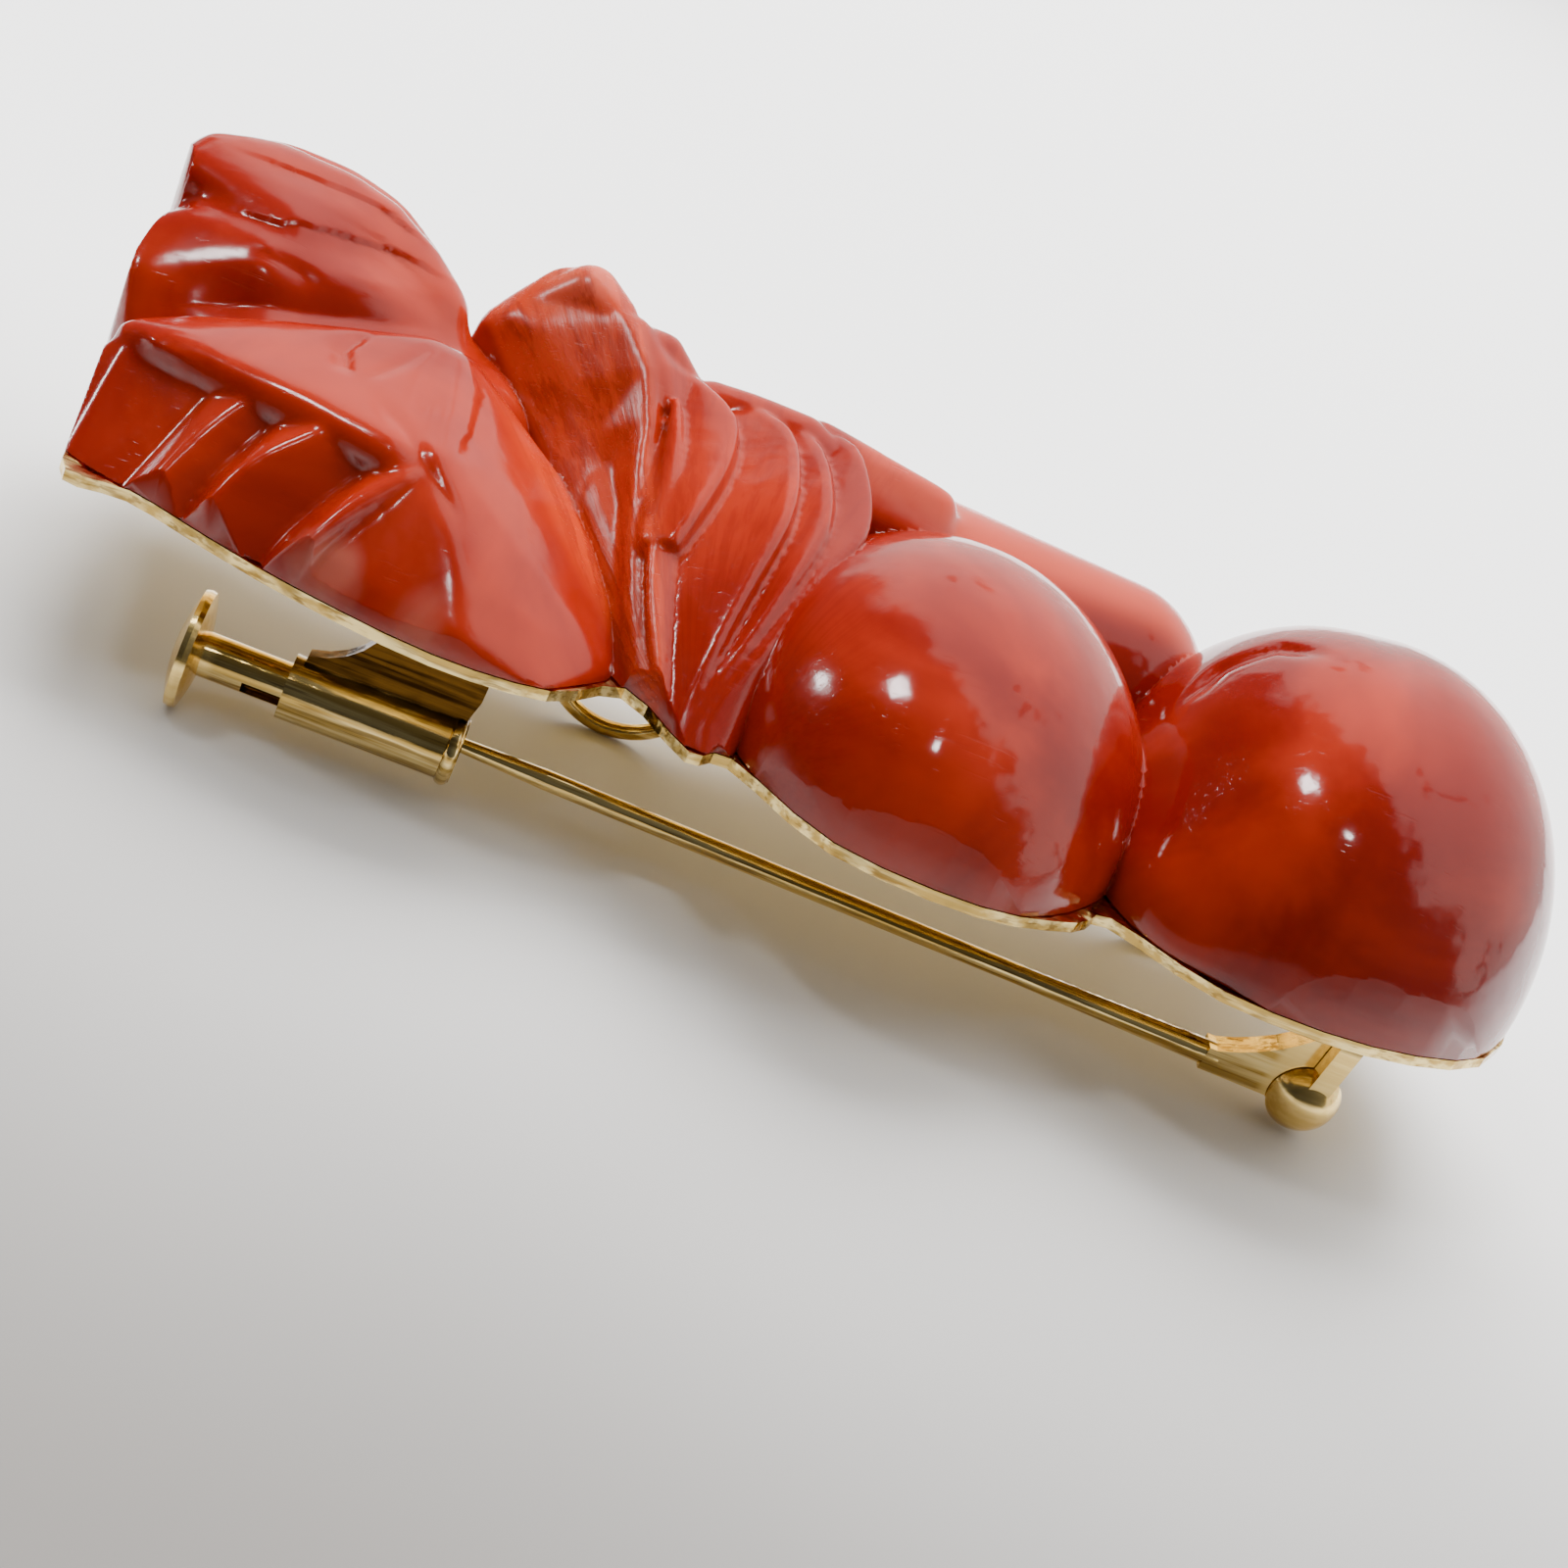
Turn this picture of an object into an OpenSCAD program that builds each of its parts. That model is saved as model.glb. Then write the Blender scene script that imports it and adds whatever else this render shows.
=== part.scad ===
// A carved red coral brooch on a gold back plate, lying on its back.
// X runs along the brooch, Y away from the clasp side, Z up. The origin is under its middle,
// on the surface that it lies on.

/* [Back plate] */
// Thickness of the gold back plate
plate_thickness = 0.4; // [0.3:0.05:0.5]
// Height of the plate's underside above the surface it lies on
plate_height = 6; // [5.9:0.05:6.1]
// Gap between the plate and the carved coral
seat_gap = 0.05; // [0.03:0.01:0.1]

/* [Coral] */
// How far the coral's foot stays inside the plate's edge
coral_inset = 0.1; // [0.05:0.05:0.4]
// Sides of each rounded swelling of the carving
swell_sides = 28; // [16:4:32]

/* [Clasp] */
// Outer diameter of the fixed clasp tube
tube_d = 2.2; // [2.1:0.05:2.3]
// Bore of the fixed clasp tube
tube_bore_d = 1.6; // [1.55:0.05:1.65]
// Length of the fixed clasp tube
tube_len = 5.9; // [5.7:0.1:6.1]
// Left end of the fixed tube
tube_left_x = -16.8; // [-17:0.1:-16.6]
// Distance of the clasp and the pin in front of the middle
pin_line_y = 5.85; // [5.7:0.05:6]
// Diameter of the pull knob
knob_d = 4; // [3.9:0.05:4.1]
// Thickness of the pull knob at its middle
knob_thickness = 1; // [0.9:0.05:1.1]
// How far the knob is drawn out of the fixed tube
drawn_out = 2.7; // [2.6:0.05:2.8]
// Clearance of the sliding tube in the fixed one
slide_gap = 0.05; // [0.03:0.01:0.08]
// Width of the mouth under the fixed tube, through which the pin swings out
mouth_w = 1; // [0.9:0.05:1.1]

/* [Pin] */
// Diameter of the hinge ball
ball_d = 2.8; // [2.7:0.05:2.9]
// Place of the hinge along the brooch
hinge_x = 20.4; // [20.2:0.1:20.6]
// Thickness of the flat heel
heel_thickness = 0.9; // [0.8:0.05:1]
// Clearance on each side of the heel in the slotted ball
heel_gap = 0.05; // [0.03:0.01:0.1]
// Diameter of the hinge's cross pin
cross_pin_d = 0.6; // [0.5:0.05:0.7]
// Diameter of the pin's straight shaft
shaft_d = 0.7; // [0.65:0.05:0.75]
// Diameter of the pin where it leaves the heel
root_d = 0.94; // [0.9:0.02:1]

/* [Loops] */
// Outside diameter of the two wire loops
loop_d = 6.2; // [6.15:0.05:6.3]
// Wire of the loops
loop_wire = 0.6; // [0.5:0.05:0.7]
// Distance of the loops behind the middle
loop_y = 2.4; // [2:0.1:3]

/* [Hidden] */
$fn = 48;

plate_top = plate_height + plate_thickness;
coral_foot = plate_top + seat_gap;
carving_reach = 20;
through = 0.1;

tube_axis_z = knob_d / 2;
tube_right_x = tube_left_x + tube_len;
bead_d = 0.5;
hinge_z = ball_d / 2;
loop_x = [-6.1, 16.3];

// Outline of the plate, round from the near left corner: [x, y]
outline_stations = [
    [-25.3, -5.9], [-23.3, -5.7], [-20.6, -6.7], [-17.5, -7.7], [-12.9, -8.5], [-9.1, -7.9],
    [-6.8, -5.9], [-4.4, -8.3], [-3.0, -7.7], [0.6, -10.4], [5.6, -10.8], [9.0, -9.5],
    [10.3, -8.4], [14.2, -10.2], [19.5, -10.1], [24.2, -8.0], [26.3, -3.5], [26.5, 1],
    [24.4, 6], [19.5, 8.6], [14.8, 7.9], [12.5, 8.6], [7, 10.4], [1, 10.2],
    [-2.5, 8.9], [-7, 9], [-12, 9.8], [-15.2, 9.1], [-18.5, 10.4], [-22.5, 10.9],
    [-26.0, 9.9], [-26.65, 7.6], [-26.0, 5], [-26.5, 2.4], [-26.1, 0.2], [-25.8, -3.2],
];
outline_steps = 3;

// Masses of the carving. Each station is [x, y, z, x radius, y radius, z radius] of a rounded lump,
// and the coral fills the space between the lumps of one row.
near_lobe = [
    [[-23.8, -4.4, 6.4, 2.0, 2.0, 1.6], [-24.0, -1.8, 9.2, 1.7, 1.5, 1.5],
        [-17.4, -5.2, 6.4, 2.4, 2.9, 2.4], [-18.2, 0.8, 9.6, 2.6, 2.6, 2.3]],
    [[-15.2, -4.6, 6.4, 3.2, 4.4, 4.6], [-9.4, -4.2, 6.4, 2.4, 3.6, 2.4],
        [-14.4, 2.4, 8.2, 2.4, 3, 3.8], [-17, -0.4, 8.6, 2.6, 3, 3.4]],
];
far_lobe = [
    [[-24.8, 1.6, 8.8, 1.8, 2.1, 1.7], [-24.4, 4.2, 10.4, 1.8, 1.9, 1.6],
        [-16.4, 5.9, 9.9, 0.9, 1.2, 1.3]],
    [[-25.0, 7.8, 12.0, 1.6, 1.5, 1.5], [-21.6, 9.8, 11.9, 1.8, 1.7, 1.6],
        [-16.4, 6.2, 10.4, 0.9, 1.2, 1.3], [-23.6, 7.4, 6.4, 2.6, 3.8, 4],
        [-18.4, 8.2, 6.4, 2.4, 2.2, 2.6]],
];
leaf_heart = [
    [-24.2, 1.2, 6.4, 1.8, 2.4, 2.8], [-23.4, 6, 7.4, 2.6, 3, 2.6], [-20, 2.8, 7.8, 3, 3, 2.6],
    [-15, 7, 6.8, 2.4, 2, 3.6], [-14.5, 2.6, 6.4, 3, 3, 4.6],
];
tooth_cuts = [
    [[-21.6, -3.2, 11.6, 0.25, 0.8, 0.8], [-23.0, -6.9, 6.4, 0.6, 1.1, 1.1]],
    [[-19.2, -4.2, 11.4, 0.3, 1, 1], [-20.5, -8.1, 6.4, 0.7, 1.3, 1.3]],
    [[-16.0, -3.8, 12.2, 0.3, 1, 1], [-17.7, -9.1, 6.4, 0.7, 1.5, 1.5]],
];
fold_flank = [
    [-15.6, 8.2, 10.6, 0.9, 1, 1.2], [-12.8, 7.8, 12.6, 1.2, 1.4, 1.6],
    [-10.4, 2.4, 12.0, 0.8, 1, 1.2], [-4.8, -7.1, 6.4, 1.0, 1.5, 1.6],
    [-8.4, -3.6, 6.4, 1.4, 1.8, 1.4], [-12.4, 5, 8, 3, 4, 2],
];
// Each fold: the crest of its top, its shoulder and its foot
fold_ribs = [
    [[-10.2, 5.6, 12.4, 1.1, 1.6, 1.8], [-8.2, 0.6, 11.4, 1, 1.4, 1.6], [-4.7, -7.2, 6.5, 0.9, 1.3, 1.3]],
    [[-7.8, 4.6, 12.4, 1.1, 1.6, 1.8], [-6.4, 0.2, 11.8, 1, 1.4, 1.4], [-4.3, -7.2, 6.5, 0.9, 1.3, 1.1]],
    [[-5.2, 4.2, 12.2, 1.2, 1.6, 1.8], [-4.2, 0, 11.6, 1, 1.6, 1.4], [-3.9, -7.0, 6.5, 0.8, 1.3, 1]],
    [[-2.2, 3.6, 11.9, 1.5, 2, 1.9], [-1.9, -0.6, 10.8, 1.2, 1.6, 1.6], [-3.6, -6.8, 6.5, 0.8, 1.2, 1]],
];
fold_heart = [
    [-9, 4, 8, 4, 5, 4], [-4, 3, 8, 3, 5.5, 4.4], [-4.6, -5.4, 6.4, 1.2, 2.4, 2],
    [-12, 7.4, 6.4, 2.8, 2.5, 3.4], [-2.6, 6.6, 6.4, 2.4, 2.4, 4],
];
near_fruit = [[3.6, -2.2, 5.8, 7.8, 9.2, 7.6]];
far_fruit = [[0.8, 5.4, 6.4, 3.6, 5.2, 5.6], [10, 5, 6.4, 4.4, 4.4, 5.6]];
right_fruit = [
    [17.7, -1.1, 6.2, 7.9, 9.6, 9.2], [18.9, -0.8, 6.2, 7.8, 9.6, 9.3], [13.6, -4.6, 6.4, 4, 5, 4],
];
twig = [[-3, 5, 12, 1, 1, 1.2], [1.6, 4.2, 12.0, 0.8, 0.8, 0.9]];

function spline(a, b, c, d, t) =
    0.5 * (2 * b + (c - a) * t + (2 * a - 5 * b + 4 * c - d) * t * t
    + (3 * b - a - 3 * c + d) * t * t * t);
function closed_spline(stations, steps) = [
    for (i = [0 : len(stations) - 1], s = [0 : steps - 1])
        let (n = len(stations))
            spline(stations[(i + n - 1) % n], stations[i], stations[(i + 1) % n],
                stations[(i + 2) % n], s / steps)
];
function arc(centre, r, from, to, steps) = [
    for (i = [0 : steps])
        let (a = from + (to - from) * i / steps) centre + r * [cos(a), sin(a)]
];

module plate_outline() {
    polygon(closed_spline(outline_stations, outline_steps));
}

// A flat profile drawn in X and Z, given a thickness along Y about the pin line
module upright(thickness, y = 0) {
    translate([0, -pin_line_y + y + thickness / 2, 0])
        rotate([90, 0, 0])
            linear_extrude(thickness)
                children();
}
// A round bar along X on the pin line
module bar(x, z, d, length) {
    translate([x, -pin_line_y, z])
        rotate([0, 90, 0])
            cylinder(d = d, h = length);
}
// A round bar along Y on the hinge
module cross_bar(d, length) {
    translate([hinge_x, -pin_line_y, hinge_z])
        rotate([90, 0, 0])
            cylinder(d = d, h = length, center = true);
}

module lump(station) {
    translate([station[0], station[1], station[2]])
        scale([station[3], station[4], station[5]])
            sphere(1, $fn = swell_sides);
}
module mass(stations) {
    hull()
        for (station = stations) lump(station);
}
module rib(stations) {
    for (i = [0 : len(stations) - 2])
        mass([stations[i], stations[i + 1]]);
}

// The whole carving is one piece of coral, flat below, cut to the plate's outline
module coral_carving() {
    color("orangered")
        intersection() {
            union() {
                difference() {
                    union()
                        for (lobe = near_lobe) mass(lobe);
                    for (cut = tooth_cuts) mass(cut);
                }
                for (lobe = far_lobe) mass(lobe);
                mass(leaf_heart);
                mass(fold_flank);
                mass(fold_heart);
                for (stations = fold_ribs) rib(stations);
                mass(near_fruit);
                mass(far_fruit);
                mass(right_fruit);
                mass(twig);
            }
            translate([0, 0, coral_foot])
                linear_extrude(carving_reach)
                    offset(delta = -coral_inset)
                        plate_outline();
        }
}

bracket_left = -14.3;
bracket_right = -11.0;
bracket_thickness = 0.5;
bracket_sweep = 2.6;

// Web between the plate and the tube: its left edge is hollowed, its right edge is swelled
module bracket() {
    low_z = tube_axis_z + tube_d / 4;
    upright(bracket_thickness)
        polygon(concat(
            [[bracket_right, plate_height + through], [bracket_left, plate_height + through]],
            arc([bracket_left - bracket_sweep, plate_height], bracket_sweep, 0, -80, 6),
            [[tube_left_x + bead_d / 2, low_z], [tube_right_x - bead_d / 2, low_z]],
            arc([bracket_right - bracket_sweep, 4.5], bracket_sweep + 0.2, -20, 28, 4)
        ));
}

module tube_bead() {
    translate([tube_right_x - bead_d / 2, -pin_line_y, tube_axis_z])
        rotate([0, 90, 0])
            rotate_extrude()
                translate([tube_d / 2 - bead_d / 5, 0])
                    circle(d = bead_d);
}

mouth_left_x = -14.8;
module tube_hollow() {
    bar(tube_left_x - through, tube_axis_z, tube_bore_d, tube_len + 2 * through);
    translate([mouth_left_x, -pin_line_y - mouth_w / 2, -through])
        cube([tube_right_x + bead_d - mouth_left_x, mouth_w, tube_axis_z + through]);
}

slot_w = heel_thickness + 2 * heel_gap;
prong_thickness = 0.6;
prong_foot_w = 0.8;
prong_top_w = 1.2;
prong_lean = 0.35;

// One of the two prongs that carry the ball, a little wider where it meets the plate
module prong(side) {
    flare_z = plate_height - 0.7;
    upright(prong_thickness, side * (slot_w + prong_thickness) / 2)
        polygon([
            [hinge_x - prong_foot_w / 2, hinge_z], [hinge_x + prong_foot_w / 2, hinge_z],
            [hinge_x + prong_lean + prong_foot_w / 2, flare_z],
            [hinge_x + prong_lean + prong_top_w / 2, plate_height + through],
            [hinge_x + prong_lean - prong_top_w / 2, plate_height + through],
            [hinge_x + prong_lean - prong_foot_w / 2, flare_z],
        ]);
}

module hinge_ball() {
    difference() {
        translate([hinge_x, -pin_line_y, hinge_z]) sphere(d = ball_d);
        translate([hinge_x, -pin_line_y, hinge_z]) cube([2 * ball_d, slot_w, 2 * ball_d], center = true);
    }
    cross_bar(cross_pin_d, slot_w + prong_thickness);
}

module wire_loop(x) {
    translate([x, loop_y, loop_d / 2])
        rotate([90, 0, 0])
            rotate_extrude()
                translate([(loop_d - loop_wire) / 2, 0])
                    circle(d = loop_wire);
}

// Plate, bracket, fixed tube, hinge ball and loops are soldered into one piece
module back_plate() {
    color("gold") {
        translate([0, 0, plate_height])
            linear_extrude(plate_thickness)
                plate_outline();
        difference() {
            union() {
                bar(tube_left_x, tube_axis_z, tube_d, tube_len);
                tube_bead();
                bracket();
            }
            tube_hollow();
        }
        hinge_ball();
        for (side = [-1, 1]) prong(side);
        for (x = loop_x) wire_loop(x);
    }
}

// Heights of the pin's middle line, which rises from the hinge to the tube
mouth_pin_z = tube_axis_z + 0.25;
pin_slope = atan((mouth_pin_z - hinge_z) / (hinge_x - tube_right_x));
// Stretches of the pin from the heel to the point: [start from hinge, end from hinge, start d, end d]
pin_stretches = [
    [3.4, 11, root_d, shaft_d], [11, 28.4, shaft_d, shaft_d],
    [28.4, 31.3, shaft_d, 0.5], [31.3, 34.6, 0.5, 0.16],
];
heel_eye_d = 1.9;
fin_start = 3.6;
fin_height = 2.9;
fin_sag = 9;

module heel_profile() {
    // The fin's hollow upper edge is an arc between its start and its peak
    start = [-fin_start, root_d / 2 - 0.02];
    peak = [-0.35, fin_height];
    span = norm(peak - start);
    tilt = atan2(peak[1] - start[1], peak[0] - start[0]);
    bow_r = span / 2 / sin(fin_sag * 2);
    bow_centre = (start + peak) / 2 + bow_r * cos(fin_sag * 2) * [-sin(tilt), cos(tilt)];
    polygon(concat(
        arc(bow_centre, bow_r, tilt - 90 - fin_sag * 2, tilt - 90 + fin_sag * 2, 6),
        [[0.3, fin_height - 0.5], [0.5, 0], [0, -root_d / 2], [-fin_start - 0.3, -root_d / 2],
            [-fin_start - 0.3, root_d / 2 - 0.02]]
    ));
    circle(d = heel_eye_d);
}

module pin_stem() {
    color("gold")
        translate([hinge_x, -pin_line_y, hinge_z])
            rotate([0, pin_slope, 0])
                difference() {
                    union() {
                        for (s = pin_stretches)
                            translate([-s[0], 0, 0])
                                rotate([0, -90, 0])
                                    cylinder(d1 = s[2], d2 = s[3], h = s[1] - s[0]);
                        translate([0, heel_thickness / 2, 0])
                            rotate([90, 0, 0])
                                linear_extrude(heel_thickness)
                                    heel_profile();
                    }
                    rotate([90, 0, 0])
                        cylinder(d = cross_pin_d + 2 * heel_gap, h = 2 * heel_thickness, center = true);
                }
}

slider_d = tube_bore_d - 2 * slide_gap;
slider_bore_d = 1;
slider_end_x = -14.9;
knob_x = tube_left_x - drawn_out - knob_thickness;
slot_left_x = -18.1;
slot_right_x = -15.4;
slot_opening = 0.5;
slot_turn = 25;

// Lens-shaped knob on the end of the sliding tube
module knob() {
    rim = 0.35;
    dome_r = 5;
    side = knob_thickness / 2;
    translate([knob_x + side, -pin_line_y, tube_axis_z])
        rotate([0, 90, 0])
            rotate_extrude()
                polygon(concat(
                    [[0, -side], [0, side]],
                    [for (i = [1 : 5]) let (r = knob_d / 2 * i / 5 - 0.05)
                        [r, side - (side - rim / 2) * pow(i / 5, 2)]],
                    [[knob_d / 2, 0]],
                    [for (i = [5 : -1 : 1]) let (r = knob_d / 2 * i / 5 - 0.05)
                        [r, -side + (side - rim / 2) * pow(i / 5, 2)]]
                ));
}

module catch_slider() {
    color("gold") {
        knob();
        difference() {
            bar(knob_x + knob_thickness / 2, tube_axis_z, slider_d, slider_end_x - knob_x - knob_thickness / 2);
            bar(knob_x + knob_thickness, tube_axis_z, slider_bore_d, slider_end_x - knob_x);
            translate([slot_left_x, -pin_line_y, tube_axis_z])
                rotate([slot_turn, 0, 0])
                    translate([0, -tube_d, -slot_opening / 2])
                        cube([slot_right_x - slot_left_x, tube_d, slot_opening]);
        }
    }
}

coral_carving();
back_plate();
pin_stem();
catch_slider();
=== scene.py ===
import math

import bmesh
import bpy
import numpy as np
from mathutils import Matrix, Vector


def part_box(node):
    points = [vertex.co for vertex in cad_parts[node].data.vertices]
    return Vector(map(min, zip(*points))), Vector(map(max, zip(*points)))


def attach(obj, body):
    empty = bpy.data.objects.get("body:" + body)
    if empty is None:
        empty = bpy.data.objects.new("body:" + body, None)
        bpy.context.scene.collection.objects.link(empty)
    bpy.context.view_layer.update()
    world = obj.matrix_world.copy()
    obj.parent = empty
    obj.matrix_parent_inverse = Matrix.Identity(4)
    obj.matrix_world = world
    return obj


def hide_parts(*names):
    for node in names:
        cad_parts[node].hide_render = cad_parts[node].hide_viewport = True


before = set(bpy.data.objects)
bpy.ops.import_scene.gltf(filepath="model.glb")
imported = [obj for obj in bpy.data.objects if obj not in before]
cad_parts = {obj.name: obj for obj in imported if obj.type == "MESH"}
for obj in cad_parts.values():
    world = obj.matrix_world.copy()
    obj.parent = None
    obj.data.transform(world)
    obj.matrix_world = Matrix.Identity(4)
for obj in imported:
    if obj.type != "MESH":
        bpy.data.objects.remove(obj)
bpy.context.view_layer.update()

MM = 0.001

# Camera. It looks down on the clasp's side of the brooch from close by, turned so that the
# brooch falls to the right. Lens and place are worked out from the photo's straight pin,
# round ball and plate.
CAMERA_AT = Vector((-13.85, -75.108, 42.72)) * MM
LOOKS_ROUND, LOOKS_DOWN, ROLL = math.radians(10.681), math.radians(28), math.radians(26.396)
LENS, FILM_WIDTH, NEAREST_SEEN = 56.25, 36, 0.001
ahead = Vector((
    math.sin(LOOKS_ROUND) * math.cos(LOOKS_DOWN),
    math.cos(LOOKS_ROUND) * math.cos(LOOKS_DOWN),
    -math.sin(LOOKS_DOWN),
))
level = Vector((math.cos(LOOKS_ROUND), -math.sin(LOOKS_ROUND), 0))
below = ahead.cross(level)
right = level * math.cos(ROLL) - below * math.sin(ROLL)
up = -(level * math.sin(ROLL) + below * math.cos(ROLL))
bpy.ops.object.camera_add()
camera = bpy.context.object
camera.matrix_world = Matrix((
    (right.x, up.x, -ahead.x, CAMERA_AT.x),
    (right.y, up.y, -ahead.y, CAMERA_AT.y),
    (right.z, up.z, -ahead.z, CAMERA_AT.z),
    (0, 0, 0, 1),
))
camera.data.lens = LENS
camera.data.sensor_width = FILM_WIDTH
camera.data.clip_start = NEAREST_SEEN
bpy.context.scene.camera = camera

# Table. A plain pale sheet, with painted shade that greys it towards the camera, and wide
# enough to fill the view behind the brooch. It isn't part of the object. Its finish, like the
# others, is built up from tones and from masks between 0 and 1 that mix them.
TABLE_SIZE = 4
TABLE_PAINTED_SHADE, TABLE_PALE = (0.16, 0.15, 0.14, 1), (0.93, 0.93, 0.93, 1)
TABLE_AWAY = (0.12, 0.99, 0)
GREY_UNTIL, PALE_FROM = -45, 25


class Shade:
    """A socket of a node tree, so that tones and masks can be written as sums."""

    tree = None

    def __init__(self, socket):
        self.socket = socket

    @classmethod
    def node(cls, kind, settings=None, inputs=None, output=0):
        made = cls.tree.nodes.new(kind)
        for name, value in (settings or {}).items():
            setattr(made, name, value)
        for name, value in (inputs or {}).items():
            if isinstance(value, Shade):
                cls.tree.links.new(value.socket, made.inputs[name])
            else:
                made.inputs[name].default_value = value
        return cls(made.outputs[output])

    @classmethod
    def math(cls, operation, first, second):
        return cls.node("ShaderNodeMath", {"operation": operation}, {0: first, 1: second})

    def __add__(self, other):
        return Shade.math("ADD", self, other)

    __radd__ = __add__

    def __sub__(self, other):
        return Shade.math("SUBTRACT", self, other)

    def __rsub__(self, other):
        return Shade.math("SUBTRACT", other, self)

    def __mul__(self, other):
        return Shade.math("MULTIPLY", self, other)

    __rmul__ = __mul__

    def over(self, low, high):
        """0 below low, 1 above high, and a soft step between them."""
        return Shade.node(
            "ShaderNodeMapRange",
            {"interpolation_type": "SMOOTHSTEP"},
            {"Value": self, "From Min": low, "From Max": high},
        )

    def blend(self, first, second):
        """The first tone where this mask is 0, the second where it is 1."""
        return Shade.node(
            "ShaderNodeMix", {"data_type": "RGBA"}, {0: self, 6: first, 7: second}, output=2
        )

    def towards(self, way):
        """How far this place lies along the way."""
        return Shade.node(
            "ShaderNodeVectorMath", {"operation": "DOT_PRODUCT"}, {0: self, 1: way}, output=1
        )

    def along(self, axis):
        """How far this place lies along x, y or z."""
        return Shade.node(
            "ShaderNodeSeparateXYZ", {}, {"Vector": self}, output="xyz".index(axis)
        )

    def noise(self, scale, detail, roughness=0.5, distortion=0.0):
        """Clouds about 1 / scale across at this place."""
        return Shade.node("ShaderNodeTexNoise", {}, {
            "Vector": self, "Scale": scale, "Detail": detail,
            "Roughness": roughness, "Distortion": distortion,
        })


def finish_named(name):
    """A new material with its surface shader, and the place on the piece in millimetres."""
    material = bpy.data.materials.new(name)
    material.use_nodes = True
    Shade.tree = material.node_tree
    surface = material.node_tree.nodes["Principled BSDF"]
    place = Shade.node("ShaderNodeTexCoord", output=3)
    in_mm = Shade.node(
        "ShaderNodeVectorMath", {"operation": "SCALE"}, {0: place, "Scale": 1 / MM}
    )
    return material, surface, in_mm


def feed(surface, name, shade):
    Shade.tree.links.new(shade.socket, surface.inputs[name])


material, surface, in_mm = finish_named("pale_table")
cloud = in_mm.noise(scale=0.02, detail=2.0)
# Painted shade: the table greys towards the camera, standing in for the light falling off in front
painted_falloff = (in_mm.towards(TABLE_AWAY) + (cloud - 0.5) * 12).over(GREY_UNTIL, PALE_FROM)
feed(surface, "Base Color", painted_falloff.blend(TABLE_PAINTED_SHADE, TABLE_PALE))
surface.inputs["Roughness"].default_value = 0.55
bpy.ops.mesh.primitive_plane_add(size=TABLE_SIZE)
table = bpy.context.object
table.name = "table"
table.data.materials.append(material)

# Light. Two big soft boxes light the table from behind and from above. Three small lamps, on
# the left and in front, put the bright spots on the polish. The coral and the gold mirror the
# room, which is dim but for one bright side with a ragged edge.
ROOM_DARK, ROOM_GREY = (0.03, 0.03, 0.03, 1), (0.6, 0.6, 0.6, 1)
ROOM_BRIGHT = (1.5, 1.42, 1.34, 1)
BRIGHT_SIDE = (0.66, 0.62, 0.42)


def soft_box(name, towards, rise, distance, width, height, power, mirrored=True):
    """A lamp that shines at the middle of the brooch from a turn and a rise in degrees."""
    turn, lift = math.radians(towards), math.radians(rise)
    way = Vector((
        math.sin(turn) * math.cos(lift),
        math.cos(turn) * math.cos(lift),
        math.sin(lift),
    ))
    bpy.ops.object.light_add(type="AREA", location=way * distance)
    lamp = bpy.context.object
    lamp.name = name
    lamp.rotation_euler = way.to_track_quat("Z", "Y").to_euler()
    lamp.visible_glossy = mirrored
    lamp.data.shape = "RECTANGLE"
    lamp.data.size = width
    lamp.data.size_y = height
    lamp.data.energy = power


soft_box("light_back", 0, 56, 0.5, width=0.4, height=0.34, power=7.0, mirrored=False)
soft_box("light_above", 50, 74, 0.7, width=0.7, height=0.7, power=5.0, mirrored=False)
soft_box("lamp_low", -82, 27, 0.6, width=0.06, height=0.05, power=0.5)
soft_box("lamp_middle", -103, 60, 0.6, width=0.09, height=0.07, power=0.8)
soft_box("lamp_high", -166, 58, 0.6, width=0.03, height=0.03, power=0.15)

world = bpy.data.worlds.new("room")
bpy.context.scene.world = world
world.use_nodes = True
Shade.tree = world.node_tree
way = Shade.node("ShaderNodeTexCoord", output=0)
bright_side = way.towards(BRIGHT_SIDE)
ragged = way.noise(scale=3.0, detail=3.0, roughness=0.6)
lit = (bright_side + (ragged - 0.5) * 0.8).over(0.34, 0.44)
furniture = ragged.over(0.62, 0.64) * 0.75
glow = lit * (1 - furniture)
walls = (bright_side * 0.2 + 0.28).over(0, 1).blend(ROOM_DARK, ROOM_GREY)
room = world.node_tree.nodes["Background"]
feed(room, "Color", glow.blend(walls, ROOM_BRIGHT))
room.inputs["Strength"].default_value = 1.0

# Coral. One piece of polished red coral, carved by hand as a leaf, a folded leaf and round
# fruit on a twig, ground flat underneath and glued on the plate. Each swelling is a skin over
# a few round lumps, all are melted together, and the grooves are cut in stroke by stroke.
coral_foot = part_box("coral_carving")[0].z


def picked(pieces):
    """Selects these pieces alone, and works on the first of them."""
    bpy.ops.object.select_all(action="DESELECT")
    for piece in pieces:
        piece.select_set(True)
    bpy.context.view_layer.objects.active = pieces[0]


def lumps_hull(stations, segments=48):
    """Stretches one skin over lumps given as [x, y, z, x radius, y radius, z radius] in mm."""
    made = []
    for x, y, z, rx, ry, rz in stations:
        bpy.ops.mesh.primitive_uv_sphere_add(
            segments=segments, ring_count=segments // 2, radius=MM,
            location=(x * MM, y * MM, z * MM), scale=(rx, ry, rz),
        )
        made.append(bpy.context.object)
    picked(made)
    bpy.ops.object.transform_apply(location=True, rotation=True, scale=True)
    if len(made) > 1:
        bpy.ops.object.join()
        bpy.ops.object.mode_set(mode="EDIT")
        bpy.ops.mesh.select_all(action="SELECT")
        bpy.ops.mesh.convex_hull()
        bpy.ops.object.mode_set(mode="OBJECT")
    return bpy.context.object


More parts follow.
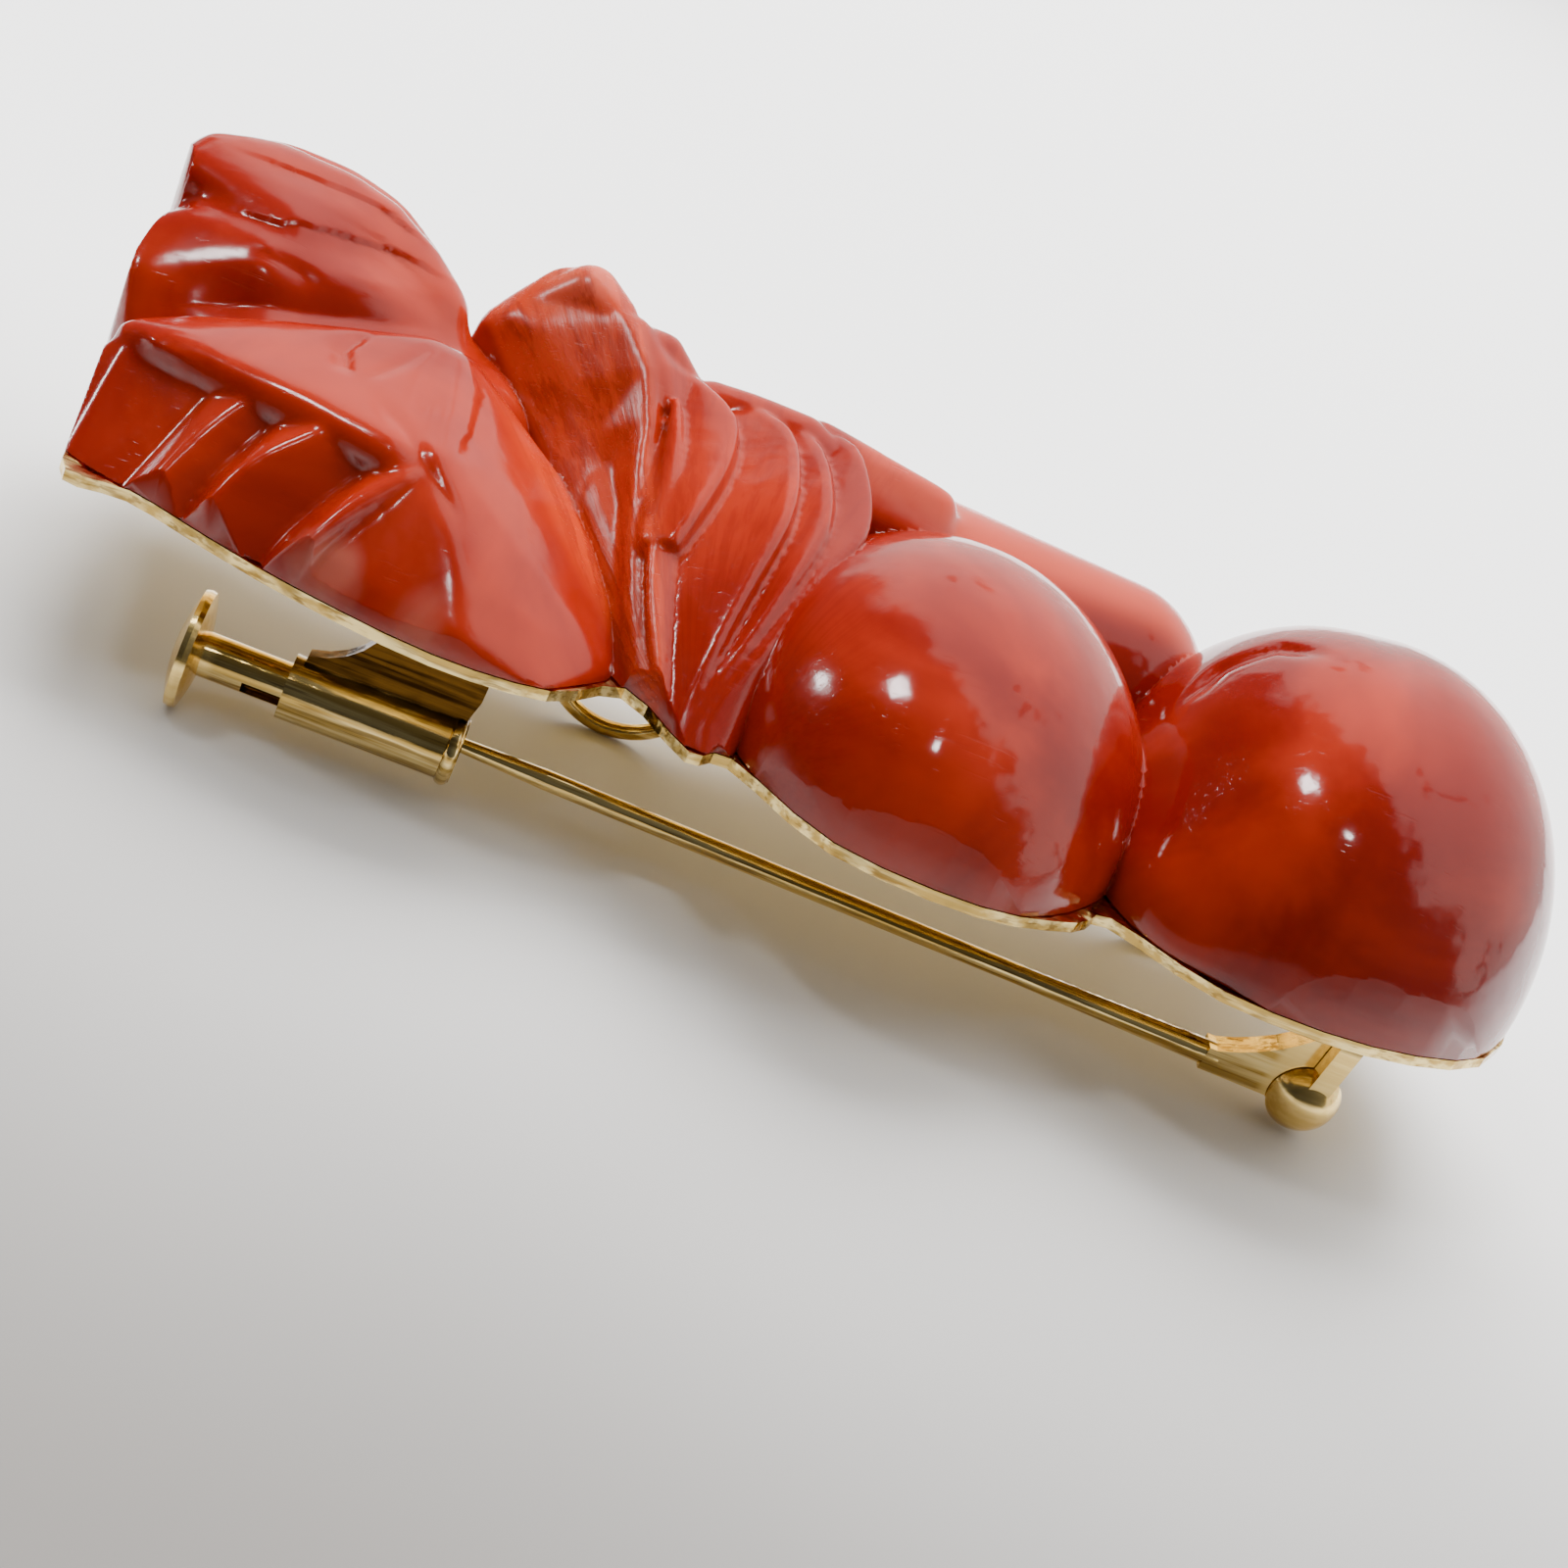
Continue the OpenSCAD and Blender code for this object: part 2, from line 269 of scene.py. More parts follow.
def finished(piece, kind, **settings):
    """Adds one modifier to the piece and applies it."""
    picked([piece])
    modifier = piece.modifiers.new(kind.lower(), kind)
    for name, value in settings.items():
        setattr(modifier, name, value)
    bpy.ops.object.modifier_apply(modifier=modifier.name)


def edge(line, radius):
    """Small round lumps along a smooth curve through the spots, for a carved edge."""
    line = np.array(line, float)
    padded = np.vstack([2 * line[0] - line[1], line, 2 * line[-1] - line[-2]])
    spots = []
    for before, start, end, after in zip(padded, padded[1:], padded[2:], padded[3:]):
        for t in (0, 1 / 3, 2 / 3):
            spots.append(start + t / 2 * (
                end - before + t * (2 * before - 5 * start + 4 * end - after
                + t * (3 * start - before - 3 * end + after))
            ))
    return [list(spot) + [radius] * 3 for spot in spots + [line[-1]]]


def melted(forms, grain, rounds):
    """Melts forms into one skin of the given grain in mm and rubs its edges round."""
    picked(forms)
    if len(forms) > 1:
        bpy.ops.object.join()
    form = bpy.context.object
    finished(form, "REMESH", mode="VOXEL", voxel_size=grain * MM)
    finished(form, "SMOOTH", factor=0.5, iterations=rounds)
    return form


def swollen(swellings, grain, rounds):
    """A form of soft swellings, rubbed round at a coarse grain and then made twice as fine."""
    form = melted([lumps_hull(stations) for stations in swellings], grain, rounds)
    finished(form, "SUBSURF", levels=1)
    return form


# The leaf's far half: two tips and a high domed rim that runs down to the stalk
far_leaf = swollen([
    [
        [-26.2, 6.2, 12.1, 0.8, 0.9, 1.1], [-25.5, 7.3, 12.6, 1.1, 1.2, 1.1],
        [-23.4, 7.7, 12.7, 1.4, 1.5, 1.4], [-21.4, 7.5, 12.8, 1.5, 1.5, 1.4],
        [-19.8, 7.1, 12.6, 1.5, 1.5, 1.4], [-18.4, 6.6, 12.1, 1.3, 1.4, 1.2],
        [-16.6, 5.8, 11.3, 0.9, 1.0, 1.0], [-22.0, 5.0, 12.0, 1.6, 1.8, 1.4],
        [-24.6, 6.0, 12.3, 1, 1, 1], [-23.8, 7.2, 6.4, 3.0, 3.8, 4],
        [-18.4, 8.0, 6.4, 2.4, 2.2, 2.6],
    ],
    [
        [-26.3, 3.8, 10.5, 0.8, 1.0, 0.9], [-26.0, 2.6, 9.9, 0.8, 1.2, 0.9],
        [-25.0, 4.0, 11.3, 0.9, 1.0, 0.9], [-22.5, 3.8, 11.2, 1.6, 1.8, 1.4],
        [-19.2, 4.0, 11.1, 1.4, 1.6, 1.3], [-16.2, 5.4, 10.6, 0.8, 0.9, 1.0],
        [-25.3, 1.6, 8.2, 1.0, 1.4, 1.2], [-21, 1.2, 9.2, 1.6, 1.6, 1.2],
        [-25.0, 3.0, 6.4, 2.0, 3.0, 1.4], [-16, 3.0, 8.6, 1.4, 2, 1.8],
    ],
    [
        [-24.2, 1.2, 6.4, 1.8, 2.4, 2.8], [-23.4, 6, 7.4, 2.6, 3, 2.6], [-20, 2.8, 7.8, 3, 3, 2.6],
        [-15, 7, 6.8, 2.4, 2, 3.6], [-14.5, 2.6, 6.4, 3, 3, 4.6],
    ],
], grain=0.3, rounds=12)
# Its near half: a ledge along the midrib with a rounded shoulder, and a plump right end
shoulder = edge([
    [-25.3, -1.0, 9.2], [-23.9, -2.0, 9.8], [-22.4, -2.6, 10.0], [-20.8, -3.2, 10.2], [-19.2, -3.6, 10.4],
    [-17.6, -4.2, 10.4], [-16.2, -4.5, 10.5],
], radius=0.55) + edge([
    [-25.4, -1.4, 8.8], [-24.0, -2.3, 9.4], [-22.5, -2.9, 9.6], [-20.9, -3.5, 9.8], [-19.3, -3.9, 10.1],
    [-17.7, -4.5, 10.1], [-16.3, -4.9, 10.2],
], radius=0.4)
ledge = swollen([
    [
        [-25.3, -0.6, 8.6, 0.6, 0.7, 0.7], [-23.6, -0.3, 9.6, 0.7, 0.8, 0.7],
        [-21.4, 0.0, 10.2, 0.8, 1, 0.8], [-18.8, 0.6, 10.7, 0.9, 1, 0.9],
        [-16.4, 1.6, 11.0, 1.0, 1.2, 0.9], [-24, 0.5, 7.5, 1.4, 1.6, 1.4], [-18, 0.5, 8, 2, 2, 2],
    ] + shoulder,
    [
        [-15.6, 1.6, 9.6, 1.8, 2.0, 2.2], [-14.8, 0.8, 9.9, 1.4, 1.5, 1.6],
        [-15.0, -4.2, 10.3, 0.7, 0.8, 0.8], [-13.9, -5.7, 9.3, 0.6, 0.6, 0.6],
        [-13.0, -6.9, 8.2, 0.6, 0.6, 0.6], [-12.4, -7.9, 7.0, 0.7, 0.7, 0.7],
        [-13.9, -0.6, 10.1, 0.9, 0.9, 0.9], [-13.0, -2.8, 9.5, 0.8, 0.8, 0.8],
        [-11.9, -4.8, 8.5, 0.8, 0.8, 0.8], [-11.0, -6.6, 7.3, 0.8, 0.8, 0.8],
        [-11.3, 0.8, 8.5, 0.9, 1.0, 0.9], [-9.8, -1.4, 7.8, 0.9, 1.0, 0.9],
        [-8.6, -3.4, 6.9, 0.9, 1.0, 0.9], [-8.1, -5.4, 6.2, 0.9, 1.0, 0.9],
        [-16.1, -5.8, 8.9, 0.5, 0.5, 0.5], [-17.1, -7.0, 7.4, 0.5, 0.5, 0.5],
        [-17.9, -7.8, 5.6, 0.5, 0.6, 0.5], [-14.0, -7.4, 6.0, 1.2, 1.4, 1.2],
        [-9.7, -7.4, 5.9, 0.9, 1.0, 0.9],
    ],
], grain=0.25, rounds=6)
# Teeth under the shoulder: sharp edges and the feet of the scoops between them, in turn
tooth_lines = [
    [[-25.2, -1.5, 9.2], [-25.7, -1.4, 8.7], [-26.2, -1.8, 7.8], [-26.1, -3.2, 6.8], [-25.6, -5.2, 5.8],
        [-25.2, -6.2, 5.0]],
    [[-21.8, -2.6, 9.8], [-22.6, -3.4, 8.2], [-23.1, -4.6, 6.8], [-23.4, -5.6, 6.2], [-23.6, -6.4, 5.0]],
    [[-20.4, -3.1, 10.2], [-21.1, -3.8, 9.6], [-22.0, -4.9, 8.4], [-22.7, -6.2, 6.9], [-23.1, -7.0, 5.4]],
    [[-19.4, -3.0, 10.0], [-20.0, -3.4, 9.0], [-20.6, -4.2, 8.0], [-21.0, -5.2, 7.1], [-21.5, -6.6, 5.2]],
    [[-17.9, -4.0, 10.5], [-18.8, -4.7, 9.9], [-20.1, -5.7, 8.7], [-20.9, -6.8, 7.0], [-21.3, -7.6, 5.4]],
    [[-16.2, -4.2, 10.0], [-17.2, -4.6, 8.7], [-18.1, -5.7, 7.4], [-18.5, -6.7, 6.4], [-18.7, -7.4, 5.2]],
    [[-15.3, -5.0, 10.3], [-16.0, -5.6, 9.8], [-16.8, -6.5, 9.1], [-17.5, -7.5, 8.1], [-18.0, -8.1, 7.0],
        [-18.2, -8.5, 5.4]],
]
teeth = []
for first, second in zip(tooth_lines, tooth_lines[1:]):
    under_ledge = [first[0][0] + 1, 0, 7, 1, 1, 1]
    teeth.append(lumps_hull(
        edge(first, radius=0.25) + edge(second, radius=0.25) + [under_ledge], segments=16
    ))
near_leaf = melted([ledge] + teeth, grain=0.13, rounds=6)
# The folded leaf: a flank that faces the first leaf, as ribs from its crest to the valley
flank_ribs = [
    [[-14.6, 6.9, 12.0], [-15.1, 6.4, 11.2], [-15.2, 6.2, 10.2]],
    [[-13.4, 7.2, 13.6], [-14.3, 5.9, 12.1], [-14.5, 5.2, 10.1]],
    [[-12.2, 6.9, 14.3], [-13.3, 5.2, 12.3], [-13.5, 4.1, 9.7]],
    [[-10.7, 5.2, 13.7], [-11.7, 3.8, 11.4], [-12.2, 2.6, 9.0]],
    [[-9.5, 3.8, 12.9], [-10.2, 2.6, 10.5], [-11.0, 1.2, 8.4]],
    [[-8.9, 2.2, 11.9], [-9.2, 1.4, 9.6], [-10.1, 0.0, 7.9]],
    [[-8.5, 0.4, 10.6], [-8.5, 0.0, 8.7], [-9.3, -1.2, 7.4]],
    [[-8.0, -1.6, 9.4], [-7.9, -1.8, 7.8], [-8.6, -2.8, 6.9]],
    [[-7.3, -3.8, 8.2], [-7.3, -3.8, 7.0], [-7.9, -4.4, 6.3]],
    [[-6.2, -6.2, 7.0], [-6.4, -6.0, 6.2], [-6.9, -6.2, 5.6]],
    [[-5.2, -8.2, 5.6], [-5.4, -8.1, 5.3], [-5.6, -8.0, 5.0]],
]
facets = []
for upper, lower in zip(flank_ribs, flank_ribs[1:]):
    x, y, z = upper[1]
    inside = [x + 1.8, y + 1.5, z - 1.5, 0.8, 0.8, 0.8]
    for i in (0, 1):
        corners = [spot + [0.4] * 3 for spot in upper[i:i + 2] + lower[i:i + 2]]
        facets.append(lumps_hull(corners + [inside], segments=16))
flank = melted(facets, grain=0.2, rounds=5)
# The blade along the flank's crest, and petals that lie over each other behind it
blade = lumps_hull(edge([
    [-8.3, 2.9, 12.7], [-7.9, 1.3, 12.1], [-7.7, -0.4, 11.2], [-7.6, -2.2, 10.1], [-7.0, -4.4, 8.8],
    [-5.9, -6.7, 7.4], [-5.1, -8.3, 5.8],
], radius=0.16) + edge([
    [-7.7, 1.6, 11.0], [-7.0, -2.0, 9.0], [-5.6, -6.0, 7.0],
], radius=0.4), segments=12)
petal_edges = [
    [[-8.8, 5.6, 12.6], [-7.6, 4.4, 12.8], [-6.4, 3.0, 12.7], [-6.2, 1.0, 12.1], [-6.6, -1.0, 11.2],
        [-7.0, -2.4, 10.2]],
    [[-6.6, 5.6, 12.4], [-5.6, 4.6, 12.7], [-4.4, 3.2, 12.9], [-3.9, 1.2, 12.5], [-3.8, -0.8, 11.8],
        [-4.2, -2.8, 10.6], [-4.7, -5.4, 8.7], [-4.9, -7.2, 7.0], [-4.8, -8.6, 5.4]],
    [[-5.2, 5.8, 12.3], [-4.3, 4.8, 12.6], [-3.2, 3.4, 12.7], [-2.6, 1.2, 12.3], [-2.5, -0.8, 11.6],
        [-3.0, -2.8, 10.6], [-3.8, -5.2, 8.8], [-4.6, -7.2, 7.0], [-4.5, -8.6, 5.4]],
    [[-3.8, 6.0, 12.2], [-3.0, 5.2, 12.6], [-2.0, 4.2, 12.9], [-1.4, 2.6, 12.6], [-1.1, 1.0, 12.1],
        [-1.3, -0.6, 11.6], [-2.2, -2.6, 10.6], [-3.1, -5.0, 9.0], [-4.2, -7.2, 7.0], [-3.6, -8.6, 5.4]],
]
# How each petal comes out from under the one before it: left of its edge and below it
petal_roots = [
    [[-8.8, 4.6, 12.1], [-7.8, 0.6, 11.2], [-7.7, -2.2, 9.8]],
    [[-7.0, 4.8, 12.0], [-6.2, 0.4, 11.0], [-6.6, -2.6, 9.4], [-6.2, -5.7, 7.2], [-5.5, -7.1, 6.6]],
    [[-5.2, 5.0, 12.0], [-4.0, 0.4, 11.2], [-4.4, -2.8, 9.4], [-4.7, -5.8, 7.4]],
    [[-4.0, 5.2, 12.0], [-2.8, 0.6, 11.1], [-3.3, -2.6, 9.4], [-4.1, -5.8, 7.5]],
]
petal_foot = [[-5.8, -1.0, 8, 1, 1.6, 1], [-7, 6, 8, 1, 1, 1]]
petals = [
    lumps_hull(edge(crest, radius=0.32) + edge(root, radius=0.35) + petal_foot, segments=12)
    for crest, root in zip(petal_edges, petal_roots)
]
# What fills the folded leaf under them, and the round humps along its top
fan_heart = lumps_hull([
    [-8.6, 4, 7.6, 3.2, 4.2, 3.6], [-4, 3, 8, 2.6, 5, 3.8], [-5.4, -4.8, 6.4, 0.9, 1.8, 1.2],
    [-12, 7.4, 6.4, 2.8, 2.5, 3.4], [-2.6, 6.6, 6.4, 2.4, 2.4, 4],
])
humps = [lumps_hull(stations, segments=24) for stations in (
    [
        [-14.6, 6.6, 11.2, 0.8, 0.9, 0.9], [-13.3, 6.7, 12.7, 0.9, 1.0, 0.9],
        [-12.2, 6.6, 13.6, 1.1, 1.1, 1.1], [-11.2, 5.9, 13.4, 0.9, 0.9, 0.9], [-12, 7, 10, 1, 1, 1],
    ],
    [
        [-10.4, 5.4, 13.2, 0.8, 0.8, 0.8], [-9.2, 4.3, 12.8, 0.6, 0.6, 0.6],
        [-8.5, 3.3, 12.2, 0.5, 0.5, 0.5], [-7.8, 5.0, 12.0, 0.9, 0.9, 0.9],
        [-9, 4, 10, 1.2, 1.2, 1.2],
    ],
    [
        [-10.2, 5.8, 12.8, 0.9, 0.9, 0.9], [-9.2, 5.6, 12.9, 0.9, 0.9, 0.9],
        [-8.2, 5.2, 12.3, 0.8, 0.8, 0.8],
    ],
    [
        [-7.0, 5.2, 12.1, 0.9, 0.9, 0.9], [-5.6, 5.0, 12.3, 0.9, 0.9, 0.9],
        [-3.6, 4.8, 12.4, 0.9, 0.9, 0.9], [-1.9, 4.0, 12.0, 0.8, 0.8, 0.8],
    ],
)]
fan = melted([flank, blade] + humps + petals + [fan_heart], grain=0.12, rounds=5)
# Round fruit: the near one, the far one with its twig, and the right one
near_fruit = lumps_hull([[3.6, -2.2, 5.8, 7.8, 9.2, 7.6]], segments=224)
far_fruit = melted([
    lumps_hull([[0.8, 5.4, 6.4, 3.6, 5.2, 5.6], [10, 5, 6.4, 4.4, 4.4, 5.6]]),
    lumps_hull([
        [-3, 5.2, 12.2, 1, 1, 1], [1.6, 4.6, 11.9, 0.9, 0.9, 0.9],
        [-2.6, 3.8, 11.2, 0.9, 0.9, 0.9], [1.6, 3.4, 11.0, 0.9, 0.9, 0.9],
        [-1, 4, 9, 1.6, 1.6, 1.6],
    ]),
], grain=0.2, rounds=6)
right_fruit = melted([lumps_hull([
    [17.7, -1.1, 6.2, 7.9, 9.6, 9.2], [18.9, -0.8, 6.2, 7.8, 9.6, 9.3],
    [13.6, -4.6, 6.4, 4, 5, 4],
], segments=128)], grain=0.22, rounds=4)


def read_vertices(values, name):
    """One vector for each vertex of a mesh, as the rows of an array."""
    rows = np.zeros(len(values) * 3)
    values.foreach_get(name, rows)
    return rows.reshape(-1, 3)


def carve(piece, strokes):
    """Cuts strokes into the skin, in mm. Each is the line it follows and what it does on its
    left and on its right: (depth, reach, power of the slope). A depth below 0 raises the skin."""
    run_out, left_at_ends, least_share = 0.25, 0.15, 0.002
    spots = read_vertices(piece.data.vertices, "co") / MM
    ways = read_vertices(piece.data.vertex_normals, "vector")
    press = np.zeros(len(spots))
    for line, left, right_side in strokes:
        line = np.array(line, float)
        reach = max(left[1], right_side[1])
        close = np.flatnonzero(
            ((spots > line.min(0) - reach) & (spots < line.max(0) + reach)).all(1)
        )
        near, way = spots[close], ways[close]
        best = np.full(len(near), 1e9)
        side = np.zeros(len(near))
        along = np.zeros(len(near))
        steps = np.linalg.norm(np.diff(line, axis=0), axis=1)
        done = 0.0
        for start, end, step in zip(line, line[1:], steps):
            run = end - start
            t = np.clip((near - start) @ run / step ** 2, 0, 1)
            off = near - start - t[:, None] * run
            far = np.linalg.norm(off, axis=1)
            closer = far < best
            best[closer] = far[closer]
            turned = np.einsum("ij,ij->i", np.cross(way, run), off)
            side[closer] = np.sign(turned[closer])
            along[closer] = (done + t * step)[closer]
            done += step
        # The stroke runs out at both its ends
        ends = np.clip(np.minimum(along, done - along) / (run_out * done), 0, 1)
        fade = ends * ends * (3 - 2 * ends)
        for which, (depth, width, power) in ((1, left), (-1, right_side)):
            here = side * which > 0
            shape = np.clip(1 - best / width, 0, 1) ** power
            cut = depth * shape * (left_at_ends + (1 - left_at_ends) * fade)
            press[close] += np.where(here, cut, 0)
    deepest = np.abs(press).max()
    for sign in (1, -1):
        group = piece.vertex_groups.new(name="stroke")
        share = press * sign / deepest
        for index in np.flatnonzero(share > least_share):
            group.add([int(index)], float(share[index]), "REPLACE")
        finished(
            piece, "DISPLACE", strength=-sign * deepest * MM, mid_level=0, vertex_group="stroke"
        )
        piece.vertex_groups.remove(piece.vertex_groups["stroke"])


# Strokes across the first leaf: pleats of its far half, and the lines round its ledge
carve(far_leaf, [
    ([[-24.8, 0.8, 9.9], [-22.5, 1.2, 10.9], [-20.5, 1.6, 11.3], [-18.4, 2.6, 11.5], [-16.6, 4.0, 11.3]],
        (0.4, 1.4, 1.4), (0.4, 1.4, 1.4)),
    ([[-24.2, 8.1, 13.6], [-21.3, 7.9, 14.0], [-19.0, 7.5, 13.6], [-17.4, 6.8, 12.6]],
        (0.22, 0.4, 1.3), (0.22, 1.1, 1.6)),
    ([[-24.9, 6.8, 13.0], [-22.1, 6.4, 13.3], [-19.7, 6.5, 13.3], [-17.6, 6.4, 12.6]],
        (0.24, 0.4, 1.3), (0.24, 1.2, 1.6)),
    ([[-24.5, 4.3, 12.0], [-22.5, 4.1, 12.4], [-20.8, 4.7, 12.6], [-18.7, 5.6, 12.5], [-16.9, 5.9, 12.1]],
        (0.24, 0.45, 1.3), (0.24, 1.3, 1.6)),
    ([[-22.1, 5.1, 12.8], [-19.5, 5.5, 12.7], [-18.0, 5.3, 12.2]], (0.2, 0.4, 1.3), (0.2, 0.8, 1.6)),
    ([[-23.0, 3.0, 11.8], [-21.7, 2.6, 11.9], [-20.5, 2.7, 11.8]], (0.16, 0.5, 1.3), (0.16, 0.8, 1.6)),
    ([[-25.7, 4.7, 11.6], [-25.6, 5.6, 12.1], [-25.2, 6.3, 12.6]], (0.3, 0.7, 1.3), (0.3, 0.7, 1.3)),
    ([[-25.4, 2.9, 10.6], [-25.1, 2.3, 10.2], [-25.6, 1.9, 9.6]], (0.14, 0.4, 1.3), (0.14, 0.6, 1.3)),
])
carve(near_leaf, [
    ([[-25.2, -0.9, 9.4], [-24.3, -2.5, 9.9], [-23.0, -3.0, 10.0]], (-0.08, 0.3, 1.3), (-0.08, 0.3, 1.3)),
    ([[-18.0, -2.1, 11.1], [-17.1, -0.3, 11.5], [-16.4, 1.6, 11.6]], (0.12, 0.3, 1.2), (0.12, 0.5, 1.5)),
    ([[-18.3, -2.2, 11.1], [-18.8, -0.7, 11.3], [-18.4, 0.9, 11.6]], (0.16, 1.0, 1.5), (0.16, 0.25, 1.2)),
    ([[-15.0, 1.8, 11.7], [-14.3, 0.3, 11.5], [-14.1, -2.3, 11.0], [-14.5, -4.2, 10.7]],
        (0.14, 0.8, 1.5), (0.14, 0.3, 1.2)),
    ([[-17.6, -2.4, 11.1], [-15.8, -4.3, 10.9], [-15.0, -5.0, 10.5], [-12.9, -6.4, 9.6]],
        (0.12, 0.5, 1.4), (0.12, 0.8, 1.4)),
])
# The right fruit's stalk end, with a crease in a half circle
carve(right_fruit, [
    ([[11.1, -1.4, 11.2], [12.0, -0.1, 12.5], [13.6, 0.2, 13.9], [14.9, -1.1, 14.8]],
        (0.28, 0.5, 1.2), (0.28, 0.9, 1.2)),
])

# All the forms are one piece of coral
coral = far_leaf
coral.name = "carved_coral"
for form in (near_leaf, fan, near_fruit, far_fruit, right_fruit):
    finished(coral, "BOOLEAN", operation="UNION", object=form, solver="MANIFOLD")
    bpy.data.objects.remove(form)

# Its foot is ground flat and its sides are cut to the plate's outline, just inside the edge
PLATE_FACE = 6.4 * MM
EDGE_SHOWN = 0.1 * MM
TALLER_THAN_CORAL = 20 * MM
SAME_SPOT, SAME_HEIGHT, FACES_UP = 1e-7, 1e-5, 0.9
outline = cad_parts["back_plate"].copy()
outline.data = outline.data.copy()
bpy.context.scene.collection.objects.link(outline)
sheet = bmesh.new()
sheet.from_mesh(outline.data)
bmesh.ops.remove_doubles(sheet, verts=sheet.verts, dist=SAME_SPOT)
others = [
    face for face in sheet.faces
    if face.normal.z < FACES_UP
    or abs(face.calc_center_median().z - PLATE_FACE) > SAME_HEIGHT
]
bmesh.ops.delete(sheet, geom=others, context="FACES")
sheet.to_mesh(outline.data)
sheet.free()
outline.parent = None
picked([outline])
bpy.ops.object.mode_set(mode="EDIT")
bpy.ops.mesh.select_all(action="SELECT")
bpy.ops.mesh.dissolve_limited(angle_limit=0.001)
bpy.ops.mesh.select_all(action="SELECT")
bpy.ops.mesh.inset(thickness=EDGE_SHOWN)
bpy.ops.mesh.select_all(action="INVERT")
bpy.ops.mesh.delete(type="FACE")
bpy.ops.mesh.select_all(action="SELECT")
bpy.ops.mesh.extrude_region_move(
    TRANSFORM_OT_translate={"value": (0, 0, TALLER_THAN_CORAL)}
)
bpy.ops.mesh.select_all(action="SELECT")
bpy.ops.transform.translate(value=(0, 0, coral_foot - PLATE_FACE))
bpy.ops.mesh.normals_make_consistent(inside=False)
bpy.ops.object.mode_set(mode="OBJECT")
finished(coral, "BOOLEAN", operation="INTERSECT", object=outline, solver="MANIFOLD")
bpy.data.objects.remove(outline)
SHARP_FROM = math.radians(50)
picked([coral])
bpy.ops.object.shade_smooth_by_angle(angle=SHARP_FROM)

# The finish: clouds of deep and light red, darker on the fruit than on the leaves
LEAF_DEEP, LEAF_LIGHT = (0.22, 0.006, 0.001, 1), (0.36, 0.019, 0.003, 1)
FRUIT_DEEP, FRUIT_LIGHT = (0.18, 0.004, 0.001, 1), (0.36, 0.02, 0.005, 1)
PALE_PATCH_AND_SHEEN, ORANGE, FLANK_PAINTED_GLOW = (0.75, 0.26, 0.18, 1), (0.54, 0.045, 0.01, 1), (0.6, 0.05, 0.006, 1)
HAIR_RED = (0.17, 0.003, 0.001, 1)
FAN_TIP = (-4.5, -9.0, 6.6)
material, surface, in_mm = finish_named("polished_coral")
across, behind = in_mm.along("x"), in_mm.along("y")
clouds = in_mm.noise(scale=0.13, detail=4.0, distortion=0.6)
on_fruit = (across + (clouds - 0.5) * 6).over(-3, 2)
deep = on_fruit.blend(LEAF_DEEP, FRUIT_DEEP)
light = on_fruit.blend(LEAF_LIGHT, FRUIT_LIGHT)
tone = clouds.over(0.35, 0.68).blend(deep, light)
# Pale patches low on the leaf's plump end, and a painted reflection of the bright room on top of the
# folded leaf
for centre, reach, strength in (
    ((-16.6, -7.4, 7.4), 1.3, 0.3), ((-13.4, -8.4, 6.9), 1.7, 0.3), ((-13.0, 6.6, 14.1), 2.8, 0.5),
):
    away = Shade.node(
        "ShaderNodeVectorMath", {"operation": "DISTANCE"}, {0: in_mm, 1: centre}, output=1
    )
    patch_and_sheen = (away + (clouds - 0.5) * 6).over(0, reach)
    tone = ((1 - patch_and_sheen) * strength).blend(tone, PALE_PATCH_AND_SHEEN)
# The far fruit and the twig are paler and more orange
on_far = behind.over(2.6, 4.2) * (across + behind * 0.2).over(-1.5, 0) * (1 - across.over(13.5, 15))
tone = (on_far * 0.6).blend(tone, ORANGE)
# The folded leaf lies above the valley between the leaves, and its flank before its crest
above_valley = in_mm.towards((0.626, 0.113, 0.819))
past_crest = in_mm.towards((0.914, 0.239, 0.146))
on_fan = above_valley.over(0.4, 0.9) * (1 - on_fruit)
on_flank = on_fan * (1 - past_crest.over(-6.1, -5.6))
# The flank is painted a brighter orange, a painted glow standing in for light shining through the thin
# coral
tone = (on_flank * 0.6).blend(tone, FLANK_PAINTED_GLOW)
# Hair lines left by the carver's tool fan out from the folded leaf's tip
from_tip = Shade.node("ShaderNodeVectorMath", {"operation": "SUBTRACT"}, {0: in_mm, 1: FAN_TIP})
spread = Shade.node("ShaderNodeVectorMath", {"operation": "NORMALIZE"}, {0: from_tip})
hairs = spread.noise(scale=26.0, detail=4.0, roughness=0.7)
streak = hairs.over(0.45, 0.6) * (on_fan * 0.3 + on_flank * 0.15)
feed(surface, "Base Color", streak.blend(tone, HAIR_RED))


def stretched(place, scale, turned=(0, 0, 0)):
    """The place, squeezed along some axes, so that clouds become marks along the others."""
    return Shade.node(
        "ShaderNodeMapping", {}, {"Vector": place, "Rotation": turned, "Scale": scale}
    )


def raise_bumps(surface, height):
    """Bumps of the given height in mm."""
    bump = Shade.node("ShaderNodeBump", {}, {"Height": height, "Distance": MM, "Strength": 1.0})
    feed(surface, "Normal", bump)


